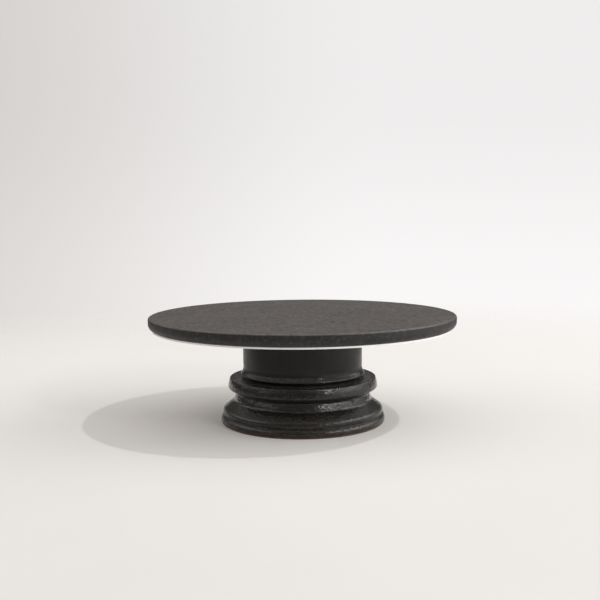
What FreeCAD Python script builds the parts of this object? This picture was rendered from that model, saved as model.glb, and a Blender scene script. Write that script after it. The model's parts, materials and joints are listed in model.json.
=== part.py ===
"""A sculptor's turntable: a cast wheel head on a hollow skirt turns on three bearings in a heavy lathe-turned base.

Millimetres, +Z up. The origin is on the table, under the middle of the base.
The wheel head, its skirt and the spindle are bolted together and turn as one. The spindle hangs through a bearing
housing that is bolted to the base casting. A thrust bearing on top of the housing carries the load, and two ball
bearings in its bore keep the spindle upright. A locknut under the lower bearing keeps the head on.
"""

import FreeCAD
import Part

import math
import os

V = FreeCAD.Vector
UP = V(0, 0, 1)
OVERCUT = 1.0  # how far a cutting tool runs past the face it opens

# Driving dimensions
HEIGHT = 105.3
WHEEL_R = 150.0
WHEEL_THICK = 11.4
SKIRT_R = 58.6
BASE_R = 81.0
DECK_Z = 44.2  # top face of the base casting

# Wheel head
WHEEL_ARRIS = 1.5  # rounding of the working face's edge
WHEEL_FACE_DROP = 5.5  # the rim is upright this far down
WHEEL_FOOT_R = 146.0  # the rim tucks in to this at its lower edge
WHEEL_WEB = 6.0
WHEEL_RIM_IN_R = 136.0
WHEEL_HUB_R = 42.0
RIB_COUNT = 8
RIB_WIDE = 6.0
RIB_BOSS_R = 6.0
RIB_BOSS_PCR = 126.0

# Sheet that closes the ribbed underside
PLATE_THICK = 1.5
PLATE_SCREW_R = 2.0
PLATE_SCREW_LONG = 6.0
PLATE_SCREW_HEAD_R = 3.8
PLATE_SCREW_HEAD_HIGH = 2.2

# Skirt
SKIRT_WALL = 6.0
SKIRT_TOP_THICK = 6.0
SKIRT_RIM_Z = 46.4
SKIRT_RIM_R = 60.9
SKIRT_RIM_HIGH = 2.4
SKIRT_FLARE_Z = 57.0  # the flare starts here

# Spindle
SPIGOT_R = 15.0
SPIGOT_INTO_HUB = 3.5
FLANGE_R = 32.0
FLANGE_THICK = 6.0
SHAFT_R = 10.0
THREAD_R = 8.5
THREAD_END_Z = 13.0
KEYWAY_WIDE = 4.0
KEYWAY_DEEP = 2.0

# Clamp bolts, from under the spindle flange into the wheel's hub
CLAMP_COUNT = 6
CLAMP_PCR = 24.0
CLAMP_LONG = 20.0

# Socket head cap screws, shared size
BOLT_R = 3.0
BOLT_HEAD_R = 5.0
BOLT_HEAD_HIGH = 6.0
BOLT_SOCKET_ACROSS = 5.0
BOLT_SOCKET_DEEP = 3.0
TAP_DEPTH_SPARE = 1.0

# Thrust bearing, 20 x 35 x 10
THRUST_OUT_R = 17.5
THRUST_HIGH = 10.0
THRUST_WASHER = 2.9
THRUST_PITCH_R = 13.75
THRUST_BALL_R = 2.75
THRUST_BALLS = 12
THRUST_CAGE_HIGH = 2.4
THRUST_CAGE_IN_R = 10.8
THRUST_CAGE_OUT_R = 16.7
THRUST_LOWER_IN_R = 10.5  # the lower washer clears the shaft

# Ball bearings, 20 x 42 x 12
RACE_OUT_R = 21.0
RACE_WIDE = 12.0
RACE_PITCH_R = 15.5
RACE_BALL_R = 3.175
RACE_BALLS = 9
INNER_RING_R = 12.9
OUTER_RING_IN_R = 18.0
RACE_CAGE_IN_R = 14.4
RACE_CAGE_OUT_R = 16.6
RACE_CAGE_HIGH = 8.4
SHIELD_THICK = 0.4
SHIELD_INSET = 0.5
SHIELD_IN_R = 13.4
BALL_PLAY = 0.08  # between a ball and its track
POCKET_PLAY = 0.1  # between a ball and its cage
RING_BREAK = 0.6  # chamfer on the rings' corners

# Bearing housing
HOUSING_R = 28.0
HOUSING_LIP = 4.0
HOUSING_LIP_R = 14.0
HOUSING_BOTTOM_Z = 16.0
HOUSING_FLANGE_R = 46.0
HOUSING_FLANGE_THICK = 7.0
HOUSING_BOLTS = 6
HOUSING_BOLT_PCR = 38.0
HOUSING_BOLT_LONG = 14.0
BEARING_GAP = 20.5  # between the two ball bearings
SPACER_WALL = 2.5

# Circlip and locknut under the lower bearing
CLIP_THICK = 1.75
CLIP_OUT_R = 22.2
CLIP_WIDE = 4.0
CLIP_GAP = 9.0
CLIP_EAR_R = 2.6
CLIP_EAR_HOLE_R = 1.1
TAB_WASHER_THICK = 1.0
TAB_WASHER_R = 12.5
TAB_COUNT = 7
LOCKNUT_R = 14.0
LOCKNUT_HIGH = 5.0
LOCKNUT_SLOTS = 4
LOCKNUT_SLOT_WIDE = 4.0
LOCKNUT_SLOT_DEEP = 2.0

# Base casting, outside, from the foot up
FOOT_RING_HIGH = 2.0
FOOT_R = 80.6
FOOT_IN_R = 70.0
BEAD_Z = 3.9  # the foot bead is widest here
CREASE = (78.1, 8.4)  # the sunk line over the bead
SIDE_LOW_MID = (78.9, 10.0)  # the short upright side over the crease
SIDE_TOP = (79.0, 12.0)
SHOULDER_MID = (78.45, 13.8)
SLOPE_LOW = (77.4, 15.1)  # the slope from the shoulder up to the groove
SLOPE_TOP = (69.2, 21.3)
COVE_MID = (68.05, 22.6)
GROOVE_WALL_LOW = (67.6, 24.2)  # the groove's upright wall
GROOVE_WALL_TOP = (66.4, 28.0)
GROOVE_MID = (66.1, 29.0)
GROOVE_TOP = (66.8, 29.9)
FLANGE_LOW = (72.8, 33.6)
FLANGE_LOW_MID = (73.6, 34.5)
FLANGE_SIDE_LOW = (73.8, 35.9)
FLANGE_SIDE_MID = (73.25, 39.6)
FLANGE_SIDE_TOP = (72.2, 43.2)
FLANGE_TOP_MID = (71.8, 43.9)
FLANGE_DECK_R = 70.9

# Base casting, inside
DECK_THICK = 9.0
WALL_IN_LOW = (70.0, 11.0)
WALL_IN_WAIST = (60.5, 23.0)
WALL_IN_HIGH = (60.5, 28.0)
BOSS_R = 35.0
BOSS_BOTTOM_Z = 26.0
COVER_LUGS = 4
COVER_LUG_R = 6.0
COVER_LUG_PCR = 61.0
COVER_Z = 3.5
COVER_THICK = 1.5
COVER_R = 69.5
COVER_SCREW_R = 2.0
COVER_SCREW_LONG = 9.5
COVER_SCREW_HEAD_R = 3.9
COVER_SCREW_HEAD_HIGH = 2.0

# Felt ring round the housing flange, inside the skirt's rim
FELT_GAP = 0.3

# Heights that follow
WHEEL_Z = HEIGHT - WHEEL_THICK
PLATE_Z = WHEEL_Z - PLATE_THICK
FLANGE_TOP_Z = PLATE_Z - SKIRT_TOP_THICK
FLANGE_Z = FLANGE_TOP_Z - FLANGE_THICK
HOUSING_TOP_Z = FLANGE_Z - THRUST_HIGH
UPPER_RACE_Z = HOUSING_TOP_Z - HOUSING_LIP - RACE_WIDE
LOWER_RACE_Z = UPPER_RACE_Z - BEARING_GAP - RACE_WIDE
HOUSING_FLANGE_TOP_Z = DECK_Z + HOUSING_FLANGE_THICK


def lathe(start, *moves):
    """Turns a closed outline about Z. A move is an end point (r, z), or (middle point, end point) for an arc."""
    here = V(start[0], 0, start[1])
    first = here
    edges = []
    for move in moves:
        if isinstance(move[0], tuple):
            middle, end = (V(r, 0, z) for r, z in move)
            edges.append(Part.Arc(here, middle, end).toShape())
        else:
            end = V(move[0], 0, move[1])
            edges.append(Part.makeLine(here, end))
        here = end
    edges.append(Part.makeLine(here, first))
    return Part.Face(Part.Wire(edges)).revolve(V(0, 0, 0), UP, 360)


def rod(r, low, high, at=(0, 0)):
    """An upright cylinder between two heights."""
    return Part.makeCylinder(r, high - low, V(at[0], at[1], low))


def ring(r_in, r_out, low, high):
    """A plain tube between two heights."""
    return rod(r_out, low, high).cut(rod(r_in, low - OVERCUT, high + OVERCUT))


def broken_ring(r_in, r_out, low, high, edge):
    """A tube with chamfered corners."""
    return lathe(
        (r_in + edge, low),
        (r_out - edge, low),
        (r_out, low + edge),
        (r_out, high - edge),
        (r_out - edge, high),
        (r_in + edge, high),
        (r_in, high - edge),
        (r_in, low + edge),
    )


def on_circle(count, radius, first=0.0):
    """Evenly spaced (angle in degrees, x, y)."""
    for i in range(count):
        angle = first + 360.0 * i / count
        a = math.radians(angle)
        yield angle, radius * math.cos(a), radius * math.sin(a)


def turned(shape, angle):
    """A copy turned about Z."""
    copy = shape.copy()
    copy.rotate(V(0, 0, 0), UP, angle)
    return copy


def hexagon(across, low, high):
    """An upright hexagonal prism, by its size across flats."""
    corner_r = across / math.sqrt(3)
    corners = [V(x, y, low) for _, x, y in on_circle(6, corner_r)]
    return Part.Face(Part.makePolygon(corners + corners[:1])).extrude(V(0, 0, high - low))


def cut_all(shape, tools):
    """Cuts a list of tools from a shape."""
    return shape.cut(Part.makeCompound(list(tools)))


def fuse_all(shape, others):
    """Joins a list of shapes to a shape and merges their flush faces."""
    for other in others:
        shape = shape.fuse(other)
    return shape.removeSplitter()


def save(name, shape):
    """Writes one sub-part, after checking that it is sound."""
    if not shape.isValid():
        raise ValueError(f"{name} isn't a valid shape")
    shape.exportStep(f"parts/{name}.step")
    solids = len(shape.Solids)
    print(f"{name:28s} solids {solids:3d}  volume {shape.Volume / 1000:9.3f} cm3")


def save_group(name, solids):
    """Writes several separate solids as one sub-part."""
    save(name, Part.makeCompound(list(solids)))


# Fasteners


def cap_screw(long):
    """A socket head cap screw, head down from z 0, shank up."""
    head = rod(BOLT_HEAD_R, -BOLT_HEAD_HIGH, 0)
    rims = [e for e in head.Edges if abs(e.BoundBox.ZMax + BOLT_HEAD_HIGH) < 0.01 and len(e.Vertexes) == 1]
    head = head.makeChamfer(0.5, rims)
    shank = rod(BOLT_R, 0, long)
    socket = hexagon(BOLT_SOCKET_ACROSS, -BOLT_HEAD_HIGH - OVERCUT, -BOLT_HEAD_HIGH + BOLT_SOCKET_DEEP)
    return head.fuse(shank).removeSplitter().cut(socket)


def flat_screw(r, head_r, head_high, long):
    """A countersunk screw, head's flat face down at z 0, with a cross recess."""
    body = lathe((0, 0), (head_r, 0), (head_r, 0.3), (r, head_high), (r, long), (0, long))
    return cut_all(body, cross_slots(head_r, 0))


def pan_screw(r, head_r, head_high, long):
    """A pan head screw, the head below z 0 and the shank above, with a cross recess."""
    body = lathe(
        (0, -head_high),
        (head_r - 1.2, -head_high),
        ((head_r - 0.35, -head_high + 0.4), (head_r, -head_high + 1.2)),
        (head_r, 0),
        (r, 0),
        (r, long),
        (0, long),
    )
    return cut_all(body, cross_slots(head_r, -head_high))


def cross_slots(head_r, face_z):
    """The two crossed slots of a recess, cut upward from a face."""
    long, wide, deep = 1.1 * head_r, 0.3 * head_r, 1.1
    for x, y in ((long, wide), (wide, long)):
        yield Part.makeBox(x, y, deep + OVERCUT, V(-x / 2, -y / 2, face_z - OVERCUT))


def placed(shape, x, y, z):
    """A copy moved to a point."""
    copy = shape.copy()
    copy.translate(V(x, y, z))
    return copy


# Wheel head and what turns with it


def wheel_head():
    """The cast head: a flat working face over a ribbed web, with a rim and a hub."""
    flank_z = HEIGHT - WHEEL_FACE_DROP
    tuck = WHEEL_R - WHEEL_FOOT_R
    drop = flank_z - WHEEL_Z
    flank_r = (tuck**2 + drop**2) / (2 * tuck)  # an arc that leaves the upright rim smoothly
    half = 0.5 * math.asin(drop / flank_r)
    flank_mid = (WHEEL_R - flank_r * (1 - math.cos(half)), flank_z - flank_r * math.sin(half))
    turn = WHEEL_ARRIS * (1 - math.sqrt(0.5))
    web_z = HEIGHT - WHEEL_WEB
    body = lathe(
        (0, HEIGHT),
        (0, WHEEL_Z),
        (WHEEL_HUB_R, WHEEL_Z),
        (WHEEL_HUB_R + 1, web_z),
        (WHEEL_RIM_IN_R - 1, web_z),
        (WHEEL_RIM_IN_R, WHEEL_Z),
        (WHEEL_FOOT_R, WHEEL_Z),
        (flank_mid, (WHEEL_R, flank_z)),
        (WHEEL_R, HEIGHT - WHEEL_ARRIS),
        ((WHEEL_R - turn, HEIGHT - turn), (WHEEL_R - WHEEL_ARRIS, HEIGHT)),
    )
    rib_start = WHEEL_HUB_R - 2
    rib = Part.makeBox(WHEEL_RIM_IN_R + 2 - rib_start, RIB_WIDE, WHEEL_WEB, V(rib_start, -RIB_WIDE / 2, WHEEL_Z))
    ribs = [turned(rib, angle) for angle, _, _ in on_circle(RIB_COUNT, 1)]
    bosses = [rod(RIB_BOSS_R, WHEEL_Z, web_z, (x, y)) for _, x, y in on_circle(RIB_COUNT, RIB_BOSS_PCR)]
    body = fuse_all(body, ribs + bosses)
    spigot_hole = rod(SPIGOT_R, WHEEL_Z - OVERCUT, WHEEL_Z + SPIGOT_INTO_HUB + 0.5)
    clamp_top = FLANGE_Z + CLAMP_LONG + TAP_DEPTH_SPARE
    clamps = [rod(BOLT_R, WHEEL_Z - OVERCUT, clamp_top, (x, y)) for _, x, y in on_circle(CLAMP_COUNT, CLAMP_PCR)]
    screw_top = PLATE_Z + PLATE_SCREW_LONG + TAP_DEPTH_SPARE
    taps = [
        rod(PLATE_SCREW_R, WHEEL_Z - OVERCUT, screw_top, (x, y))
        for _, x, y in on_circle(RIB_COUNT, RIB_BOSS_PCR)
    ]
    sinks = [
        placed(plate_screw_sink(), x, y, PLATE_Z) for _, x, y in on_circle(RIB_COUNT, RIB_BOSS_PCR)
    ]
    return cut_all(body, [spigot_hole, *clamps, *taps, *sinks])


def plate_screw_sink():
    """The countersink that a plate screw's head fills, from its flat face up."""
    return lathe(
        (0, -OVERCUT),
        (PLATE_SCREW_HEAD_R, -OVERCUT),
        (PLATE_SCREW_HEAD_R, 0.3),
        (PLATE_SCREW_R, PLATE_SCREW_HEAD_HIGH),
        (0, PLATE_SCREW_HEAD_HIGH),
    )


def underside_plate():
    """The pale sheet under the wheel, with its edge just inside the rim's lower edge."""
    sheet = ring(SPIGOT_R, WHEEL_FOOT_R, PLATE_Z, WHEEL_Z)
    clamps = [rod(BOLT_R, PLATE_Z - OVERCUT, HEIGHT, (x, y)) for _, x, y in on_circle(CLAMP_COUNT, CLAMP_PCR)]
    sinks = [placed(plate_screw_sink(), x, y, PLATE_Z) for _, x, y in on_circle(RIB_COUNT, RIB_BOSS_PCR)]
    return cut_all(sheet, clamps + sinks)


def underside_plate_screws():
    """Countersunk screws that hold the sheet to the ribs' bosses."""
    screw = flat_screw(PLATE_SCREW_R, PLATE_SCREW_HEAD_R, PLATE_SCREW_HEAD_HIGH, PLATE_SCREW_LONG)
    return [placed(screw, x, y, PLATE_Z) for _, x, y in on_circle(RIB_COUNT, RIB_BOSS_PCR)]


def hub_skirt():
    """The neck: a hollow casting, closed at the top, that flares to a small rim just over the base."""
    inside = SKIRT_R - SKIRT_WALL
    rim_top = SKIRT_RIM_Z + SKIRT_RIM_HIGH
    corner = 4.0
    body = lathe(
        (SPIGOT_R, PLATE_Z),
        (SPIGOT_R, FLANGE_TOP_Z),
        (inside - corner, FLANGE_TOP_Z),
        ((inside - corner * 0.3, FLANGE_TOP_Z - corner * 0.3), (inside, FLANGE_TOP_Z - corner)),
        (inside, SKIRT_RIM_Z),
        (SKIRT_RIM_R - 0.7, SKIRT_RIM_Z),
        ((SKIRT_RIM_R + 0.1, SKIRT_RIM_Z + 0.9), (SKIRT_RIM_R - 0.3, rim_top)),
        ((SKIRT_R + 0.45, SKIRT_RIM_Z + 5.0), (SKIRT_R, SKIRT_FLARE_Z)),
        (SKIRT_R, PLATE_Z),
    )
    clamps = [rod(BOLT_R, FLANGE_TOP_Z - OVERCUT, HEIGHT, (x, y)) for _, x, y in on_circle(CLAMP_COUNT, CLAMP_PCR)]
    return cut_all(body, clamps)


def spindle():
    """The steel spindle: spigot, bolting flange, ground shaft and a threaded end with a keyway."""
    top = WHEEL_Z + SPIGOT_INTO_HUB
    shaft_end = LOWER_RACE_Z + 0.5
    body = lathe(
        (0, top),
        (0, THREAD_END_Z),
        (THREAD_R - 1, THREAD_END_Z),
        (THREAD_R, THREAD_END_Z + 1),
        (THREAD_R, shaft_end),
        (SHAFT_R, shaft_end),
        (SHAFT_R, FLANGE_Z),
        (FLANGE_R - 1, FLANGE_Z),
        (FLANGE_R, FLANGE_Z + 1),
        (FLANGE_R, FLANGE_TOP_Z),
        (SPIGOT_R, FLANGE_TOP_Z),
        (SPIGOT_R, top - 1),
        (SPIGOT_R - 1, top),
    )
    clamps = [rod(BOLT_R, FLANGE_Z - OVERCUT, HEIGHT, (x, y)) for _, x, y in on_circle(CLAMP_COUNT, CLAMP_PCR)]
    keyway = Part.makeBox(
        KEYWAY_DEEP + OVERCUT,
        KEYWAY_WIDE,
        shaft_end - THREAD_END_Z + OVERCUT,
        V(THREAD_R - KEYWAY_DEEP, -KEYWAY_WIDE / 2, THREAD_END_Z - OVERCUT),
    )
    centre_drill = lathe((0, THREAD_END_Z - OVERCUT), (3, THREAD_END_Z - OVERCUT), (0, THREAD_END_Z + 3))
    return cut_all(body, [*clamps, keyway, centre_drill])


def head_clamp_bolts():
    """Cap screws that clamp spindle, skirt, sheet and wheel together."""
    return [placed(cap_screw(CLAMP_LONG), x, y, FLANGE_Z) for _, x, y in on_circle(CLAMP_COUNT, CLAMP_PCR)]


def tab_washer():
    """The lock washer: an inner tooth in the keyway and outer tabs, one of them bent down into a slot of the nut."""
    low, high = LOWER_RACE_Z - TAB_WASHER_THICK, LOWER_RACE_Z
    plate = ring(THREAD_R, TAB_WASHER_R, low, high)
    tooth_in = THREAD_R - KEYWAY_DEEP + 0.3
    tooth_wide = KEYWAY_WIDE - 0.3
    tooth = Part.makeBox(THREAD_R + 1 - tooth_in, tooth_wide, TAB_WASHER_THICK, V(tooth_in, -tooth_wide / 2, low))
    tab_wide = LOCKNUT_SLOT_WIDE - 0.4
    tab_in = TAB_WASHER_R - 1
    tab = Part.makeBox(LOCKNUT_R + 1 - tab_in, tab_wide, TAB_WASHER_THICK, V(tab_in, -tab_wide / 2, low))
    tabs = [turned(tab, angle) for angle, _, _ in on_circle(TAB_COUNT, 1)]
    bent_in = LOCKNUT_R - LOCKNUT_SLOT_DEEP + 0.2
    bent = Part.makeBox(TAB_WASHER_THICK, tab_wide, LOCKNUT_HIGH * 0.6, V(bent_in, -tab_wide / 2, high - LOCKNUT_HIGH * 0.6))
    return fuse_all(plate, [tooth, bent, *tabs])


def spindle_locknut():
    """A slotted ring nut on the end of the spindle."""
    high = LOWER_RACE_Z - TAB_WASHER_THICK
    low = high - LOCKNUT_HIGH
    nut = broken_ring(THREAD_R, LOCKNUT_R, low, high, 0.5)
    nut = nut.fuse(ring(THREAD_R, THREAD_R + 0.6, low, high)).removeSplitter()
    slot = Part.makeBox(
        LOCKNUT_SLOT_DEEP + OVERCUT,
        LOCKNUT_SLOT_WIDE,
        LOCKNUT_HIGH + 2 * OVERCUT,
        V(LOCKNUT_R - LOCKNUT_SLOT_DEEP, -LOCKNUT_SLOT_WIDE / 2, low - OVERCUT),
    )
    return cut_all(nut, [turned(slot, angle) for angle, _, _ in on_circle(LOCKNUT_SLOTS, 1)])


# Bearings


def track(pitch_r, ball_r, z):
    """The ring of space that the balls roll in."""
    return Part.makeTorus(pitch_r, ball_r + BALL_PLAY, V(0, 0, z), UP)


def thrust_middle_z():
    return HOUSING_TOP_Z + THRUST_HIGH / 2


def thrust_washer(low, bore_r):
    """One washer of the thrust bearing, with its grooved track."""
    plain = broken_ring(bore_r, THRUST_OUT_R, low, low + THRUST_WASHER, RING_BREAK)
    return plain.cut(track(THRUST_PITCH_R, THRUST_BALL_R, thrust_middle_z()))


def thrust_balls():
    return [
        Part.makeSphere(THRUST_BALL_R, V(x, y, thrust_middle_z()))
        for _, x, y in on_circle(THRUST_BALLS, THRUST_PITCH_R)
    ]


def thrust_cage():
    """A flat ring with a round pocket for each ball."""
    half = THRUST_CAGE_HIGH / 2
    middle = thrust_middle_z()
    plain = ring(THRUST_CAGE_IN_R, THRUST_CAGE_OUT_R, middle - half, middle + half)
    pockets = [
        rod(THRUST_BALL_R + POCKET_PLAY, middle - half - OVERCUT, middle + half + OVERCUT, (x, y))
        for _, x, y in on_circle(THRUST_BALLS, THRUST_PITCH_R)
    ]
    return cut_all(plain, pockets)


def race_inner(low):
    """The ring of a ball bearing that turns with the spindle."""
    plain = broken_ring(SHAFT_R, INNER_RING_R, low, low + RACE_WIDE, RING_BREAK)
    return plain.cut(track(RACE_PITCH_R, RACE_BALL_R, low + RACE_WIDE / 2))


def race_outer(low):
    """The ring of a ball bearing that sits in the housing, with a seat for a shield at each end."""
    plain = broken_ring(OUTER_RING_IN_R, RACE_OUT_R, low, low + RACE_WIDE, RING_BREAK)
    return plain.cut(track(RACE_PITCH_R, RACE_BALL_R, low + RACE_WIDE / 2))


def race_balls(low):
    middle = low + RACE_WIDE / 2
    return [Part.makeSphere(RACE_BALL_R, V(x, y, middle)) for _, x, y in on_circle(RACE_BALLS, RACE_PITCH_R)]


def race_cage(low):
    """A moulded ring with a radial pocket for each ball."""
    middle = low + RACE_WIDE / 2
    half = RACE_CAGE_HIGH / 2
    plain = ring(RACE_CAGE_IN_R, RACE_CAGE_OUT_R, middle - half, middle + half)
    pockets = [
        Part.makeCylinder(RACE_BALL_R + POCKET_PLAY, RACE_OUT_R, V(0, 0, middle), V(x, y, 0))
        for _, x, y in on_circle(RACE_BALLS, 1)
    ]
    return cut_all(plain, pockets)


def race_shields(low):
    """The two thin shields that close a ball bearing."""
    for z in (low + SHIELD_INSET + RING_BREAK, low + RACE_WIDE - SHIELD_INSET - RING_BREAK - SHIELD_THICK):
        yield ring(SHIELD_IN_R, OUTER_RING_IN_R, z, z + SHIELD_THICK)


# Base and what stays with it


def bearing_housing():
    """The turned housing: a lip under the thrust bearing, one long bore for both ball bearings, a bolting flange."""
    bore_top = UPPER_RACE_Z + RACE_WIDE
    body = lathe(
        (HOUSING_LIP_R, HOUSING_TOP_Z),
        (HOUSING_LIP_R, bore_top),
        (RACE_OUT_R, bore_top),
        (RACE_OUT_R, HOUSING_BOTTOM_Z),
        (HOUSING_R - 1, HOUSING_BOTTOM_Z),
        (HOUSING_R, HOUSING_BOTTOM_Z + 1),
        (HOUSING_R, DECK_Z),
        (HOUSING_FLANGE_R, DECK_Z),
        (HOUSING_FLANGE_R, HOUSING_FLANGE_TOP_Z - 1),
        (HOUSING_FLANGE_R - 1, HOUSING_FLANGE_TOP_Z),
        (HOUSING_R + 3, HOUSING_FLANGE_TOP_Z),
        ((HOUSING_R + 0.9, HOUSING_FLANGE_TOP_Z + 0.9), (HOUSING_R, HOUSING_FLANGE_TOP_Z + 3)),
        (HOUSING_R, HOUSING_TOP_Z - 2),
        (HOUSING_R - 2, HOUSING_TOP_Z),
    )
    clip_top = LOWER_RACE_Z
    groove = ring(RACE_OUT_R - 1, CLIP_OUT_R, clip_top - CLIP_THICK, clip_top)
    bolts = [
        rod(BOLT_R, DECK_Z - OVERCUT, HOUSING_FLANGE_TOP_Z + OVERCUT, (x, y))
        for _, x, y in on_circle(HOUSING_BOLTS, HOUSING_BOLT_PCR)
    ]
    return cut_all(body, [groove, *bolts])


def housing_bolts():
    """Cap screws through the housing flange into the deck, heads up."""
    screw = cap_screw(HOUSING_BOLT_LONG)
    screw.rotate(V(0, 0, 0), V(1, 0, 0), 180)
    return [
        placed(screw, x, y, HOUSING_FLANGE_TOP_Z) for _, x, y in on_circle(HOUSING_BOLTS, HOUSING_BOLT_PCR)
    ]


def bearing_spacer(r_in, r_out):
    """A tube that keeps the two ball bearings apart."""
    low = LOWER_RACE_Z + RACE_WIDE
    return ring(r_in, r_out, low, low + BEARING_GAP)


def housing_circlip():
    """An open spring ring with two eared ends, in the groove under the lower bearing."""
    high = LOWER_RACE_Z
    low = high - CLIP_THICK
    middle_r = CLIP_OUT_R - CLIP_WIDE / 2
    clip = ring(CLIP_OUT_R - CLIP_WIDE / 2, CLIP_OUT_R, low, high)
    gap = Part.makeBox(CLIP_OUT_R + OVERCUT, CLIP_GAP, CLIP_THICK + 2 * OVERCUT, V(0, -CLIP_GAP / 2, low - OVERCUT))
    clip = clip.cut(gap)
    ear_r = middle_r - CLIP_EAR_R / 2
    spread = math.degrees(math.asin((CLIP_GAP / 2 + CLIP_EAR_R * 0.6) / ear_r))
    ears = []
    holes = []
    for side in (-spread, spread):
        a = math.radians(side)
        at = (ear_r * math.cos(a), ear_r * math.sin(a))
        ears.append(rod(CLIP_EAR_R, low, high, at))
        holes.append(rod(CLIP_EAR_HOLE_R, low - OVERCUT, high + OVERCUT, at))
    inside_bore = ring(RACE_OUT_R, 2 * RACE_OUT_R, low - OVERCUT, high + OVERCUT)
    ears = [ear.cut(inside_bore) for ear in ears]
    return cut_all(fuse_all(clip, ears), holes)


def base_casting():
    """The hollow base: foot bead, side, slope, groove and flange outside; a deck with a bored boss inside."""
    deck_under = DECK_Z - DECK_THICK
    body = lathe(
        (HOUSING_R, DECK_Z),
        (HOUSING_R, BOSS_BOTTOM_Z),
        (BOSS_R, BOSS_BOTTOM_Z),
        (BOSS_R + 1, deck_under),
        (WALL_IN_HIGH[0] - 2, deck_under),
        WALL_IN_HIGH,
        WALL_IN_WAIST,
        WALL_IN_LOW,
        (FOOT_IN_R, FOOT_RING_HIGH),
        (FOOT_R, FOOT_RING_HIGH),
        ((BASE_R, BEAD_Z), CREASE),
        (SIDE_LOW_MID, SIDE_TOP),
        (SHOULDER_MID, SLOPE_LOW),
        SLOPE_TOP,
        (COVE_MID, GROOVE_WALL_LOW),
        GROOVE_WALL_TOP,
        (GROOVE_MID, GROOVE_TOP),
        FLANGE_LOW,
        (FLANGE_LOW_MID, FLANGE_SIDE_LOW),
        (FLANGE_SIDE_MID, FLANGE_SIDE_TOP),
        (FLANGE_TOP_MID, (FLANGE_DECK_R, DECK_Z)),
    )
    lug_top = deck_under + OVERCUT
    lugs = [
        rod(COVER_LUG_R, COVER_Z + COVER_THICK, lug_top, (x, y))
        for _, x, y in on_circle(COVER_LUGS, COVER_LUG_PCR, 45)
    ]
    inside = lathe(
        (0, FOOT_RING_HIGH),
        (FOOT_IN_R + OVERCUT, FOOT_RING_HIGH),
        (WALL_IN_LOW[0] + OVERCUT, WALL_IN_LOW[1]),
        (WALL_IN_WAIST[0] + OVERCUT, WALL_IN_WAIST[1]),
        (WALL_IN_HIGH[0] + OVERCUT, WALL_IN_HIGH[1]),
        (WALL_IN_HIGH[0], lug_top),
        (0, lug_top),
    )
    body = fuse_all(body, [lug.common(inside) for lug in lugs])
    bolt_low = HOUSING_FLANGE_TOP_Z - HOUSING_BOLT_LONG - TAP_DEPTH_SPARE
    taps = [
        rod(BOLT_R, bolt_low, DECK_Z + OVERCUT, (x, y)) for _, x, y in on_circle(HOUSING_BOLTS, HOUSING_BOLT_PCR)
    ]
    cover_top = COVER_Z + COVER_SCREW_LONG + TAP_DEPTH_SPARE
    cover_taps = [
        rod(COVER_SCREW_R, COVER_Z, cover_top, (x, y)) for _, x, y in on_circle(COVER_LUGS, COVER_LUG_PCR, 45)
    ]
    return cut_all(body, taps + cover_taps)


def felt_dust_ring():
    """A felt ring round the housing flange that keeps clay out of the skirt."""
    inside = SKIRT_R - SKIRT_WALL
    return ring(HOUSING_FLANGE_R, inside - FELT_GAP, DECK_Z, HOUSING_FLANGE_TOP_Z - 1)


def bottom_cover():
    """The sheet that closes the base from below."""
    sheet = rod(COVER_R, COVER_Z, COVER_Z + COVER_THICK)
    holes = [
        rod(COVER_SCREW_R, COVER_Z - OVERCUT, COVER_Z + COVER_THICK + OVERCUT, (x, y))
        for _, x, y in on_circle(COVER_LUGS, COVER_LUG_PCR, 45)
    ]
    return cut_all(sheet, holes)


def bottom_cover_screws():
    screw = pan_screw(COVER_SCREW_R, COVER_SCREW_HEAD_R, COVER_SCREW_HEAD_HIGH, COVER_SCREW_LONG)
    return [placed(screw, x, y, COVER_Z) for _, x, y in on_circle(COVER_LUGS, COVER_LUG_PCR, 45)]


def foot_ring():
    """The brown felt ring that the turntable stands on."""
    return ring(FOOT_IN_R + 1, FOOT_R - 0.2, 0, FOOT_RING_HIGH)


def main():
    os.makedirs("parts", exist_ok=True)

    save("wheel_head", wheel_head())
    save("underside_plate", underside_plate())
    save_group("underside_plate_screws", underside_plate_screws())
    save("hub_skirt", hub_skirt())
    save("spindle", spindle())
    save_group("head_clamp_bolts", head_clamp_bolts())
    save("tab_washer", tab_washer())
    save("spindle_locknut", spindle_locknut())

    save("thrust_upper_washer", thrust_washer(FLANGE_Z - THRUST_WASHER, SHAFT_R))
    save("thrust_lower_washer", thrust_washer(HOUSING_TOP_Z, THRUST_LOWER_IN_R))
    save_group("thrust_balls", thrust_balls())
    save("thrust_cage", thrust_cage())
    for name, low in (("upper", UPPER_RACE_Z), ("lower", LOWER_RACE_Z)):
        save(f"{name}_bearing_inner_ring", race_inner(low))
        save(f"{name}_bearing_outer_ring", race_outer(low))
        save_group(f"{name}_bearing_balls", race_balls(low))
        save(f"{name}_bearing_cage", race_cage(low))
        save_group(f"{name}_bearing_shields", race_shields(low))
    save("inner_spacer", bearing_spacer(SHAFT_R, SHAFT_R + SPACER_WALL))
    save("outer_spacer", bearing_spacer(RACE_OUT_R - SPACER_WALL, RACE_OUT_R))

    save("bearing_housing", bearing_housing())
    save_group("housing_bolts", housing_bolts())
    save("housing_circlip", housing_circlip())
    save("base_casting", base_casting())
    save("felt_dust_ring", felt_dust_ring())
    save("bottom_cover", bottom_cover())
    save_group("bottom_cover_screws", bottom_cover_screws())
    save("foot_ring", foot_ring())


main()
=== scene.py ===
"""Looks of the sculpting turntable: finely lathed castings and felts, node materials, a pale studio.

Every piece is in the CAD frame. Outlines are in millimetres, as in part.py, and meshes are in metres.
"""

import json
import math

import bmesh
import bpy
import numpy as np
from mathutils import Matrix, Vector, noise


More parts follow.
